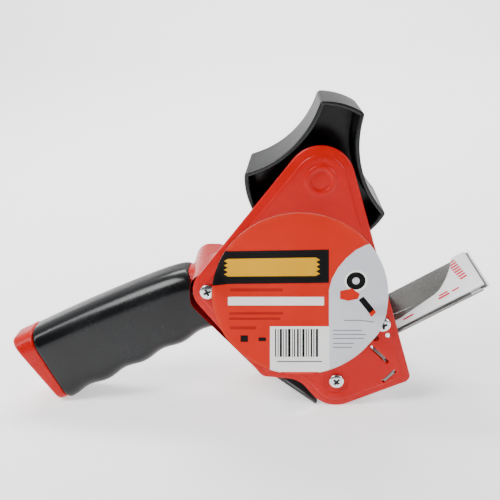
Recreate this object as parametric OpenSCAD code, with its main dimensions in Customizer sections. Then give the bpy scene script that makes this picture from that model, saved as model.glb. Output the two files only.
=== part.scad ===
// Pistol-grip packing-tape dispenser for 2 inch tape on 3 inch cores.
// +X is the cutting end, -X the grip end, +Z up. The gun stands on the round
// lower lobes of its side plates and on the heel of the grip's end cap.
// Most pieces are drawn in the hub frame: origin on the hub axis, x forward,
// z up, y from the outer face of the near side plate (0) to the far side.

/* [Frame] */
// Thickness of both side plates
plate_t = 3; // [2.5:0.25:4]
// Clear distance between the side plates
inner_w = 51; // [51:0.5:53]
// Radius of the plate's round end over the hub axle
top_r = 17; // [15:0.5:19]
// Radius of the lower lobe over the roller
lobe_r = 16; // [16:0.25:18]
// Angle by which the hub frame leans to stand on lobe and cap
lean = 4.03; // [3.9:0.01:4.2]

/* [Hub] */
// Radius of the lobes that carry the tape core
hub_r = 38; // [37:0.25:38]
// Length of the hub
hub_len = 45; // [40:0.5:48]
// Wall of the hub shell
hub_wall = 2.5; // [2:0.25:3]
// Direction of the first lobe
hub_turn = 74.5; // [0:0.5:120]

/* [Handle] */
// Angle of the handle below the horizontal
handle_ang = 26.5; // [25:0.5:28]
// Thickness of the grip from side to side
grip_w = 30; // [28:0.5:34]
// Depth of each finger groove
groove = 0.9; // [0:0.1:1.2]

/* [Roller and tongue] */
// Outer radius of the rubber sleeve
roller_r = 15.4; // [13:0.1:15.4]
// Slope of the tongue
tongue_ang = 31.3; // [31:0.1:31.6]
// Thickness of the tongue's sheet steel
sheet_t = 1.2; // [1:0.1:1.4]
// Number of teeth on the blade
teeth = 25; // [20:1:30]

/* [Hidden] */
$fn = 96;

yn = plate_t;                 // inner face of the near plate
yf = plate_t + inner_w;       // inner face of the far plate
yo = yf + plate_t;            // outer face of the far plate
ym = yo / 2;                  // middle of the frame
screw1 = [-56.9, -60.2];      // through the handle root
screw2 = [12, -111.3];        // roller axis
screw3 = [34.8, -76.8];       // beside the tongue
pin_at = [37.8, -83.4];       // pivot of the blade guard
// the same two places in the handle's and the tongue's own frames
function turned(v, a) = [v[0] * cos(a) + v[1] * sin(a), v[1] * cos(a) - v[0] * sin(a)];
post = turned(screw1 - [-62, -72], handle_ang);
pin_t = turned(pin_at - [44.5, -82.3], tongue_ang);
hub_h = screw2[0] * sin(lean) - screw2[1] * cos(lean) + lobe_r;
x_mid = -47.2875;              // middle of the whole length, from the hub axis
hub_y = yn + 2.5;             // near end of the hub

// ---------- helpers ----------
module place() translate([-x_mid, -ym, hub_h]) rotate([0, lean, 0]) children();
module prism(y0, y1) translate([0, y1, 0]) rotate([90, 0, 0]) linear_extrude(height = y1 - y0) children();
module rod(p, y0, y1, r) translate([p[0], y0, p[1]]) rotate([-90, 0, 0]) cylinder(r = r, h = y1 - y0);
// handle frame: x toward the frame, z across the grip
module at_handle() translate([-62, 0, -72]) rotate([0, -handle_ang, 0]) children();
module along_x(x0, x1) translate([x0, 0, 0]) rotate([90, 0, 90]) linear_extrude(height = x1 - x0) children();
// tongue frame: x toward the blade, z off its upper face
module at_tongue() translate([44.5, 0, -82.3]) rotate([0, -tongue_ang, 0]) children();

function unit(v) = v / norm(v);
function nrm(a, b) = let (u = unit(b - a)) [-u[1], u[0]];
function cross2(a, b) = a[0] * b[1] - a[1] * b[0];
// corner list [x, y, radius], counter-clockwise: every corner becomes an arc
function round_corner(a, p, b, r, n = 10) =
  let (u = unit(a - p), v = unit(b - p), h = acos(u * v) / 2, d = r / tan(h),
       c = p + unit(u + v) * r / sin(h), p1 = p + u * d, p2 = p + v * d,
       a1 = atan2(p1[1] - c[1], p1[0] - c[0]), a2 = atan2(p2[1] - c[1], p2[0] - c[0]),
       w = a2 - a1, da = w > 180 ? w - 360 : (w < -180 ? w + 360 : w))
  r <= 0 ? [p] : [for (i = [0:n]) c + r * [cos(a1 + da * i / n), sin(a1 + da * i / n)]];
function xy(p) = [p[0], p[1]];
function rounded(q, n = 10) = let (m = len(q))
  [for (i = [0:m - 1]) each round_corner(xy(q[(i + m - 1) % m]), xy(q[i]), xy(q[(i + 1) % m]), q[i][2], n)];
// the same corner list moved inward by d
function inset(q, d) = let (m = len(q))
  [for (i = [0:m - 1]) let (a = xy(q[(i + m - 1) % m]), p = xy(q[i]), b = xy(q[(i + 1) % m]),
      n1 = nrm(a, p), n2 = nrm(p, b), turn = cross2(p - a, b - p), s = p + d * (n1 + n2) / (1 + n1 * n2))
    [s[0], s[1], turn > 0 ? max(q[i][2] - d, 0.5) : q[i][2] + d]];

// ---------- outlines ----------
// near plate: a kite from the hub axle down to the roller lobe and the nose
near_outline = [[-68.4, -60.9, 13], [-28, -110.6, 5], [-8.5, -111.8, 14], [7.54, -130.94, lobe_r],
  [52.2, -110.4, 4], [6.3, 36.3, top_r]];
// far plate: the same lower half, cut off below the tape roll
far_outline = [[-69, -68.5, 9], [-28, -110.6, 5], [-8.5, -111.8, 14], [7.54, -130.94, lobe_r],
  [52.2, -110.4, 4], [36.2, -59.2, 6], [-46, -57.5, 30], [-54.5, -53.4, 8], [-68.6, -53.4, 8.5]];
// the rear wall's outline next to the near plate
near_wall = [[-66.8, -69.2, 9], [-28, -110.6, 5], [-8.5, -111.8, 14], [7.54, -130.94, lobe_r],
  [52.2, -110.4, 4], [36.2, -59.2, 6], [-46, -57.5, 30], [-54.5, -51.4, 8], [-66.6, -51.4, 9]];

module hub_section(d) difference() {
  circle(r = hub_r - d, $fn = 180);
  for (k = [0:2]) rotate(hub_turn + 60 + 120 * k) translate([73, 0]) circle(r = 52 + d, $fn = 240);
}
module slot(a, b, w) {
  v = b - a;
  h = w / 2;
  l = norm(v) + h;
  translate(a) rotate(atan2(v[1], v[0]))
    polygon(rounded([[-h, -h, 0.95 * h], [l, -h, 0.95 * h], [l, h, 0.95 * h], [-h, h, 0.95 * h]], 6));
}
module plate_holes() {
  slot([28.2, -89.2], [38.3, -99.1], 2);
  slot([37.4, -110.6], [42.4, -105], 2);
}

// ---------- side plates ----------
module near_side_plate() color("#d22a22") place() difference() {
  union() {
    prism(0.8, yn) polygon(rounded(near_outline, 14));
    prism(0, 0.8) polygon(rounded(inset(near_outline, 4.5), 14));
    rod([0, 0], yn, yn + 1.8, 8);            // inner boss round the axle
    difference() {                            // ring round the axle's blind end
      rod([0, 0], -0.7, 0, 7.6);
      rod([0, 0], -0.8, 0, 5.2);
    }
  }
  rod([0, 0], 1.2, 5.5, 4);
  rod(screw1, -1, 4, 1.7);
  rod(screw2, -1, 4, 1.7);
  rod(screw3, -1, 4, 1.7);
  rod(screw2, -1, 0.5, 7.2);
  rod(pin_at, -1, 4, 1.3);
  rod([31.7, -85.3], -1, 4, 1.5);
  prism(-1, 4) plate_holes();
}

module rear_wall(q) intersection() {
  difference() {
    polygon(rounded(q, 10));
    polygon(rounded(inset(q, 2.6), 10));
  }
  polygon([[-80, -113], [-27, -113], [-27, -100], [-44, -70], [-44, -46], [-80, -46]]);
}
module far_side_plate() color("#c8261f") place() difference() {
  union() {
    prism(yf, yo - 0.8) polygon(rounded(far_outline, 10));
    prism(yo - 0.8, yo) polygon(rounded(inset(far_outline, 4), 10));
    // wall round the rear of the frame, with the handle's root through it
    difference() {
      union() {
        prism(yn, yn + 16) rear_wall(near_wall);
        prism(yn + 15, yf) rear_wall(far_outline);
      }
      at_handle() along_x(-12, 23) section(22, -13.5, 16, 8, 6);
    }
    rod(screw1, yn, yf, 4.5);
    rod(screw3, yn, yf, 4.5);
  }
  rod(screw1, yn - 1, yn + 20, 1.45);
  rod(screw3, yn - 1, yn + 20, 1.45);
  rod(screw2, yf - 1, yo + 1, 1.7);
  rod(pin_at, yf - 1, yo + 1, 1.3);
  prism(yf - 1, yo + 1) plate_holes();
}

// printed round card on the near plate, notched round two screw heads
module label_card() color("#e8471c") place() difference() {
  rod([-9, -62.1], -0.4, 0, 45.6);
  rod(screw1, -1, 1, 4.5);
  rod(screw3, -1, 1, 4.5);
}

module pan_screw(p, y0, len) difference() {
  union() {
    translate([p[0], y0, p[1]]) rotate([90, 0, 0]) rotate_extrude($fn = 64)
      polygon([[0, 0], [4, 0], [4, 1.1], [3.5, 1.9], [2.6, 2.4], [1.4, 2.6], [0, 2.6]]);
    rod(p, y0 - 0.1, y0 + len, 1.4);
  }
  for (a = [20, 110]) translate([p[0], y0 - 2.7, p[1]]) rotate([0, a, 0]) translate([-2, 0, -0.4]) cube([4, 1.7, 0.8]);
}
module frame_screws() color("#c9ccd0") place() {
  pan_screw(screw1, 0, 21);
  translate([0, 0.5, 0]) pan_screw(screw2, 0, 14);
  pan_screw(screw3, 0, 21);
}

// ---------- handle ----------
function top_t(s) = 22.5 - 0.0005 * pow(s - 80, 2) - 2.4 * exp(-s / 5);
function low_t(s) = -(18.4 + 0.047 * s) - groove * cos(360 * (s - 22.5) / 25);
grip_a = 0.7;
grip_b = 99;
core_b = 104;
grip_side = concat([for (s = [grip_a:2.458:grip_b]) [-s, low_t(s)]], [for (s = [grip_b:-4.915:grip_a]) [-s, top_t(s)]]);
// rounded section across the handle, corner radii for the top and the bottom
module section(w, t0, t1, rt, rb) translate([ym, 0]) polygon(rounded(
  [[-w / 2, t0, rb], [w / 2, t0, rb], [w / 2, t1, rt], [-w / 2, t1, rt]], 8));

module handle_core() color("#c8261f") place() at_handle() difference() {
  along_x(-core_b, 22) section(22, -13.5, 16, 8, 6);
  along_x(-core_b - 1, 1) section(16, -10.5, 13, 5, 3);
  // hole round the far plate's post
  translate([post[0], ym - 20, post[1]]) rotate([-90, 0, 0]) cylinder(r = 4.6, h = 40);
}

module grip_sleeve() color("#17181a") place() difference() {
  at_handle() difference() {
    intersection() {
      prism(ym - 20, ym + 20) polygon(grip_side);
      along_x(-grip_b, -grip_a) section(grip_w, -24.5, 23, 11.5, 9);
    }
    along_x(-grip_b - 1, 1) section(22, -13.5, 16, 8, 6);
  }
  // the front end is trimmed to the frame's rear wall
  prism(0, yn + 16) polygon(rounded(inset(near_wall, -0.1)));
  prism(yn + 15, 60) polygon(rounded(inset(far_outline, -0.1)));
}

module grip_end_cap() color("#d22a22") place() at_handle() difference() {
  union() {
    intersection() {
      prism(ym - 20, ym + 20) polygon(rounded([[-99, -21.8, 0.8], [-99, 22.5, 0.8], [-115, 22.5, 5], [-107.6, -21.8, 3.5]], 8));
      along_x(-120, -90) section(grip_w - 1, -21.8, 22.5, 5, 5);
    }
    along_x(-core_b - 1, -88) section(15.9, -10.45, 12.95, 5, 3);
  }
  difference() {
    along_x(-core_b, -80) section(22, -13.5, 16, 8, 6);
    along_x(-core_b - 1, -80) section(15.9, -10.45, 12.95, 5, 3);
  }
  along_x(-core_b + 1, -80) section(11, -8, 10.5, 3, 3);
}

// ---------- hub and brake ----------
module hub_axle() color("#b9bcc0") place() {
  rod([0, 0], 1.2, 4.8, 4);
  rod([0, 0], 4.8, 5.7, 7.5);
  rod([0, 0], 5.7, 35.2, 5);
  rod([0, 0], 35.2, 57.5, 4);
}
module ring(y0, y1, ri, ro) difference() {
  rod([0, 0], y0, y1, ro);
  rod([0, 0], y0 - 1, y1 + 1, ri);
}
module axle_washer() color("#d8d4c8") place() ring(5.7, 6.3, 5.1, 8.5);
module hub_shell() color("#1b1c1e") place() difference() {
  union() {
    difference() {
      prism(hub_y, hub_y + hub_len) hub_section(0);
      prism(hub_y - 1, hub_y + hub_len + 1) hub_section(hub_wall);
    }
    prism(29, 31.5) hub_section(1);
    rod([0, 0], 6.4, 31.5, 9.5);
  }
  rod([0, 0], 5, 32, 6.55);
}
module hub_bushing() color("#e8e2d0") place() ring(6.4, 31.5, 5.06, 6.55);
module brake_disc() color("#6a5a44") place() ring(31.5, 33.4, 7, 18);
module pressure_plate() color("#b9bcc0") place() ring(33.45, 35, 5.06, 16);
module thrust_washer() color("#b9bcc0") place() ring(45, 46, 4.1, 9);
module knob_insert_nut() color("#c9a227") place() difference() {
  translate([0, 46.6, 0]) rotate([-90, 0, 0]) cylinder(r = 7, h = 4.4, $fn = 6);
  rod([0, 0], 46, 52, 4.05);
}
module brake_knob() color("#1b1c1e") place() difference() {
  union() {
    rod([0, 0], 46.05, 57.5, 10.2);
    for (k = [0:5]) rod([9.4 * cos(60 * k), 9.4 * sin(60 * k)], 46.6, 57.5, 3);
  }
  translate([0, 46, 0]) rotate([-90, 0, 0]) translate([0, 0, -0.1]) cylinder(r = 7.02, h = 5.1, $fn = 6);
  rod([0, 0], 45, 59, 4.2);
  rod([0, 0], 55.5, 59, 7);
}

// wire wound round the z axis, from angle a0, closed ends
module coil(r, w, len, turns, a0 = 0, seg = 16, sides = 6) {
  n = round(turns * seg);
  pts = [for (i = [0:n]) let (a = a0 + 360 * turns * i / n) for (j = [0:sides - 1]) let (b = 360 * j / sides)
    [(r + w * cos(b)) * cos(a), (r + w * cos(b)) * sin(a), len * i / n + w * sin(b)]];
  fcs = concat(
    [[for (j = [sides - 1:-1:0]) j]],
    [for (i = [0:n - 1]) for (j = [0:sides - 1]) let (k = (j + 1) % sides)
      each [[i * sides + j, (i + 1) * sides + k, (i + 1) * sides + j], [i * sides + j, i * sides + k, (i + 1) * sides + k]]],
    [[for (j = [0:sides - 1]) n * sides + j]]);
  polyhedron(points = pts, faces = fcs, convexity = 8);
}
module brake_spring() color("#b9bcc0") place() translate([0, 35.8, 0]) rotate([-90, 0, 0]) coil(6.6, 0.75, 8.4, 4);

// ---------- roller ----------
module roller_axle() color("#b9bcc0") place() difference() {
  rod(screw2, yn, yf, 4);
  rod(screw2, yn - 1, yf + 1, 1.45);
}
module roller_axle_screw() color("#c9ccd0") place() translate([0, 2 * ym, 0]) mirror([0, 1, 0]) pan_screw(screw2, 0, 14);
module roller_core() color("#e0ddd2") place() difference() {
  rod(screw2, yn + 1, yf - 1, 10.5);
  rod(screw2, yn, yf, 4.06);
}
module roller_sleeve() color("#202123") place() difference() {
  rod(screw2, yn + 1.4, yf - 1.4, roller_r);
  rod(screw2, yn, yf, 10.5);
}

// ---------- tongue, blade and guard ----------
// one folded sheet: the tongue, and a short leg keyed into the plates' slots
leg_ang = -44.4 + tongue_ang;   // direction of the leg seen in the tongue frame
module tongue_plate() color("#b4b5b3") place() {
  at_tongue() translate([-17.5, 4, -sheet_t]) cube([65.5, inner_w - 2, sheet_t]);
  // leg along the slots
  prism(4, yf - 1) leg_section(0.9, 11);
  prism(0.1, yo - 0.1) leg_section(1.6, 10.2);
}
module leg_section(a, b) translate([29.9, -90.9]) rotate(-44.4) translate([a, -sheet_t / 2]) square([b - a, sheet_t]);
module cutter_blade() color("#d5d7d9") place() at_tongue() difference() {
  translate([0, 0, 0]) linear_extrude(height = 0.6) polygon(concat(
    [[41.5, 3.5], [49.6, 3.5]],
    [for (i = [0:teeth - 1]) each [[52, 3.5 + 50 * (i + 0.5) / teeth], [49.6, 3.5 + 50 * (i + 1) / teeth]]],
    [[41.5, 53.5]]));
  for (y = [9, ym, yo - 9]) translate([44.8, y, -1]) cylinder(r = 1.25, h = 3);
}
module blade_rivets() color("#c9ccd0") place() at_tongue() for (y = [9, ym, yo - 9]) {
  translate([44.8, y, 0]) cylinder(r = 1.25, h = 0.7);
  translate([44.8, y, 0.6]) cylinder(r = 2, h = 0.45);
}
module tape_guide_bar() color("#b9bcc0") place() prism(0.1, yo - 0.1)
  translate([37.4, -110.6]) rotate(atan2(5.6, 5)) translate([0.1, -0.8]) square([7.3, 1.6]);
module tape_shield() color("#141516") place() prism(yn, yf) polygon(rounded(
  [[-23.5, -109.9, 0.8], [1.2, -128, 0.8], [2.4, -126.3, 0.8], [-21.5, -108.7, 0.8]], 4));

guard_plan = [[-6.3, 4.6, 0], [49.4, 4.6, 1], [49.4, 52.4, 1], [41.5, 52.4, 1], [39, 43, 12], [34.5, 32, 40], [27, 19.6, 12], [4, 12.4, 20], [-6.3, 12, 0]];
module blade_guard() color([0.93, 0.94, 0.95, 0.45]) place() at_tongue() difference() {
  union() {
    translate([0, 0, 1.3]) linear_extrude(height = 1) polygon(rounded(guard_plan, 8));
    translate([pin_t[0], 4.6, pin_t[1]]) rotate([-90, 0, 0]) cylinder(r = 2.2, h = 7.4, $fn = 64);
  }
  translate([pin_t[0], 0, pin_t[1]]) rotate([-90, 0, 0]) cylinder(r = 1.32, h = 20, $fn = 64);
}
module guard_pin() color("#b9bcc0") place() rod(pin_at, 0.3, yo - 0.3, 1.25);
module guard_spring() color("#b9bcc0") place() at_tongue() translate([pin_t[0], 12.7, pin_t[1]]) rotate([-90, 0, 0]) {
  coil(1.9, 0.34, 4, 3.5, 90, 14);
  // legs: one on the guard, one on the tongue
  translate([0, 1.9, 0]) rotate([0, 90, 0]) rotate([-1, 0, 0]) cylinder(r = 0.34, h = 14, $fn = 16);
  translate([0, -1.9, 4]) rotate([0, 90, 0]) rotate([-5.6, 0, 0]) cylinder(r = 0.34, h = 17, $fn = 16);
}

near_side_plate();
far_side_plate();
label_card();
frame_screws();
handle_core();
grip_sleeve();
grip_end_cap();
hub_axle();
hub_shell();
hub_bushing();
axle_washer();
brake_disc();
pressure_plate();
brake_spring();
thrust_washer();
brake_knob();
knob_insert_nut();
roller_axle();
roller_axle_screw();
roller_core();
roller_sleeve();
tongue_plate();
cutter_blade();
blade_rivets();
tape_guide_bar();
tape_shield();
blade_guard();
guard_pin();
guard_spring();
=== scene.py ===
import bpy
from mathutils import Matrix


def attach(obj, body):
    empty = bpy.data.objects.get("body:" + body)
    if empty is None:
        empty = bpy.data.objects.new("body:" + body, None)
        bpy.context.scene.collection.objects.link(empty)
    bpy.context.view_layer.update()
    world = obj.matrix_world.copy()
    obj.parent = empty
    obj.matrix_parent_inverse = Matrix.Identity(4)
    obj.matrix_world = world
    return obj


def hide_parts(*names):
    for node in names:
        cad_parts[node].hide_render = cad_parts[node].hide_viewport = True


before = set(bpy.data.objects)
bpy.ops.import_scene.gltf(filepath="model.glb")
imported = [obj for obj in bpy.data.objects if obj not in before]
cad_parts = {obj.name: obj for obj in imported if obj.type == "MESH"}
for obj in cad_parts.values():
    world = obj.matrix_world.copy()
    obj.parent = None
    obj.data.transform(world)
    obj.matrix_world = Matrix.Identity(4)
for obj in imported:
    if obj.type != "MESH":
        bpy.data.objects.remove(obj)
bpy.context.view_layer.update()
import bpy, math
import numpy as np
from mathutils import Vector, Matrix
from mathutils.geometry import delaunay_2d_cdt

rng = np.random.default_rng(7)

# ---------------------------------------------------------------- frames
LEAN = math.radians(4.03)
CL, SL = math.cos(LEAN), math.sin(LEAN)
HUB_H = 12 * SL + 111.3 * CL + 16
X_MID = -47.2875
YN, YF, YO, YM = 3.0, 54.0, 57.0, 28.5


def row(P):
    """Hub-frame millimetres to row-frame metres."""
    P = np.asarray(P, float)
    x, y, z = P[..., 0], P[..., 1], P[..., 2]
    return np.stack([x * CL + z * SL - X_MID, y - YM, -x * SL + z * CL + HUB_H], -1) / 1000.0


def row_dir(v):
    x, y, z = v
    return Vector((x * CL + z * SL, y, -x * SL + z * CL))


def tilted(P, deg, at):
    """Points of a tilted local frame (x, y, z) to the hub frame."""
    P = np.asarray(P, float)
    c, s = math.cos(math.radians(deg)), math.sin(math.radians(deg))
    return np.stack([at[0] + P[..., 0] * c - P[..., 2] * s, P[..., 1], at[1] + P[..., 0] * s + P[..., 2] * c], -1)


def handle(P):
    return tilted(P, 26.5, (-62, -72))


def tongue(P):
    return tilted(P, 31.3, (44.5, -82.3))


# ---------------------------------------------------------------- outlines
def unit(v):
    return v / np.linalg.norm(v)


def rounded(q, n=10):
    out = []
    m = len(q)
    for i in range(m):
        a, p, b = (np.array(q[j % m][:2], float) for j in (i - 1, i, i + 1))
        r = q[i][2]
        if r <= 0:
            out.append(p)
            continue
        u, v = unit(a - p), unit(b - p)
        h = math.acos(max(-1, min(1, float(u @ v)))) / 2
        c = p + unit(u + v) * r / math.sin(h)
        d = r / math.tan(h)
        p1, p2 = p + u * d, p + v * d
        a1 = math.atan2(*(p1 - c)[::-1])
        a2 = math.atan2(*(p2 - c)[::-1])
        w = (a2 - a1 + math.pi) % (2 * math.pi) - math.pi
        for k in range(n + 1):
            out.append(c + r * np.array([math.cos(a1 + w * k / n), math.sin(a1 + w * k / n)]))
    return np.array(out)


def inset(q, d):
    out = []
    m = len(q)
    for i in range(m):
        a, p, b = (np.array(q[j % m][:2], float) for j in (i - 1, i, i + 1))
        e1, e2 = unit(p - a), unit(b - p)
        n1, n2 = np.array([-e1[1], e1[0]]), np.array([-e2[1], e2[0]])
        s = p + d * (n1 + n2) / (1 + n1 @ n2)
        turn = e1[0] * e2[1] - e1[1] * e2[0]
        out.append([s[0], s[1], max(q[i][2] - d, 0.4) if turn > 0 else q[i][2] + d])
    return out


def circle(c, r, n=48, a0=0.0):
    t = a0 + np.arange(n) * 2 * math.pi / n
    return np.stack([c[0] + r * np.cos(t), c[1] + r * np.sin(t)], -1)


def dense(poly, step):
    out = []
    for i in range(len(poly)):
        a, b = poly[i], poly[(i + 1) % len(poly)]
        k = max(1, int(math.ceil(np.linalg.norm(b - a) / step)))
        out += [a + (b - a) * j / k for j in range(k)]
    return np.array(out)


def inside(pts, poly):
    pts = np.asarray(pts, float)
    x, y = pts[:, 0], pts[:, 1]
    r = np.zeros(len(pts), bool)
    px, py = poly[:, 0], poly[:, 1]
    qx, qy = np.roll(px, -1), np.roll(py, -1)
    for a, b, c, d in zip(px, py, qx, qy):
        if b == d:
            continue
        hit = ((b > y) != (d > y)) & (x < (c - a) * (y - b) / (d - b) + a)
        r ^= hit
    return r


def edge_dist(pts, poly):
    """Distance of each point to a closed polygon's border."""
    pts = np.asarray(pts, float)
    a, b = poly, np.roll(poly, -1, 0)
    best = np.full(len(pts), 1e9)
    for p, q in zip(a, b):
        d = q - p
        l = float(d @ d)
        if l < 1e-12:
            continue
        t = np.clip(((pts - p) @ d) / l, 0, 1)
        best = np.minimum(best, np.linalg.norm(pts - (p + t[:, None] * d), axis=1))
    return best


def fill(outer, holes=(), lines=(), step=None, seed=1):
    """Triangles of the region inside outer and outside holes. lines are extra closed borders that the triangles follow."""
    loops = [outer, *holes, *lines]
    verts, edges = [], []
    for l in loops:
        base = len(verts)
        verts += [tuple(p) for p in l]
        edges += [(base + i, base + (i + 1) % len(l)) for i in range(len(l))]
    if step:
        r = np.random.default_rng(seed)
        lo, hi = outer.min(0), outer.max(0)
        gx, gy = np.meshgrid(np.arange(lo[0], hi[0], step), np.arange(lo[1], hi[1], step * 0.87))
        gx = gx + (np.arange(gx.shape[0]) % 2)[:, None] * step / 2
        g = np.stack([gx.ravel(), gy.ravel()], -1) + r.uniform(-0.04, 0.04, (gx.size, 2)) * step
        keep = inside(g, outer)
        for h in holes:
            keep &= ~inside(g, h)
        g = g[keep]
        ok = np.ones(len(g), bool)
        for l in loops:
            ok &= edge_dist(g, np.asarray(l)) > step * 0.35
        verts += [tuple(p) for p in g[ok]]
    v, _, f, *_ = delaunay_2d_cdt([Vector(p) for p in verts], edges, [], 0, 1e-5)
    V = np.array([tuple(p) for p in v])
    F = np.array([t for t in f])
    c = V[F].mean(1)
    keep = inside(c, outer)
    for h in holes:
        keep &= ~inside(c, np.asarray(h))
    return V, F[keep], c[keep]


# ---------------------------------------------------------------- meshes
class Builder:
    def __init__(self):
        self.v, self.f, self.m = [], [], []

    def add(self, verts, faces, mat=0):
        base = len(self.v)
        self.v += [tuple(p) for p in verts]
        for i, face in enumerate(faces):
            self.f.append([base + int(k) for k in face])
            self.m.append(int(mat[i]) if np.ndim(mat) else mat)

    def rings(self, rings, mat=0, close=True, caps=(False, False), flip=False):
        """Strips between successive rings of the same number of points."""
        n = len(rings[0])
        V = np.concatenate([np.asarray(r, float) for r in rings])
        F = []
        last = n if close else n - 1
        for k in range(len(rings) - 1):
            for i in range(last):
                a, b = k * n + i, k * n + (i + 1) % n
                q = [a, b, b + n, a + n]
                F.append(q[::-1] if flip else q)
        if caps[0]:
            q = list(range(n))[::-1]
            F.append(q[::-1] if flip else q)
        if caps[1]:
            q = list(range((len(rings) - 1) * n, len(rings) * n))
            F.append(q[::-1] if flip else q)
        self.add(V, F, mat)

    def lathe(self, c, prof, n=64, mat=0, start=0.0, flip=False):
        """A profile of (radius, y) turned round the y axis through c = (x, z)."""
        rings = []
        for r, y in prof:
            q = circle(c, max(r, 1e-4), n, start)
            rings.append(np.stack([q[:, 0], np.full(n, y), q[:, 1]], -1))
        self.rings(rings, mat, flip=flip)

    def make(self, name, mats, angle=32, place=row, weld=1e-6):
        P = place(np.array(self.v))
        me = bpy.data.meshes.new(name)
        me.from_pydata([tuple(p) for p in P], [], self.f)
        for s in mats:
            me.materials.append(s)
        me.polygons.foreach_set("material_index", self.m)
        import bmesh
        bm = bmesh.new()
        bm.from_mesh(me)
        bmesh.ops.remove_doubles(bm, verts=bm.verts, dist=weld)
        bmesh.ops.dissolve_degenerate(bm, dist=1e-7, edges=bm.edges)
        bmesh.ops.recalc_face_normals(bm, faces=bm.faces)
        bm.to_mesh(me)
        bm.free()
        me.polygons.foreach_set("use_smooth", [True] * len(me.polygons))
        me.set_sharp_from_angle(angle=math.radians(angle))
        me.update()
        ob = bpy.data.objects.new(name, me)
        bpy.context.scene.collection.objects.link(ob)
        return ob


def piece(ob, body, slot, *nodes):
    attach(ob, body)
    if nodes:
        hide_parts(*nodes)
    return ob


# ---------------------------------------------------------------- materials
def new_mat(name):
    m = bpy.data.materials.new(name)
    m.use_nodes = True
    nt = m.node_tree
    nt.nodes.clear()
    out = nt.nodes.new("ShaderNodeOutputMaterial")
    b = nt.nodes.new("ShaderNodeBsdfPrincipled")
    nt.links.new(b.outputs[0], out.inputs[0])
    return m, nt, b


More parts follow.
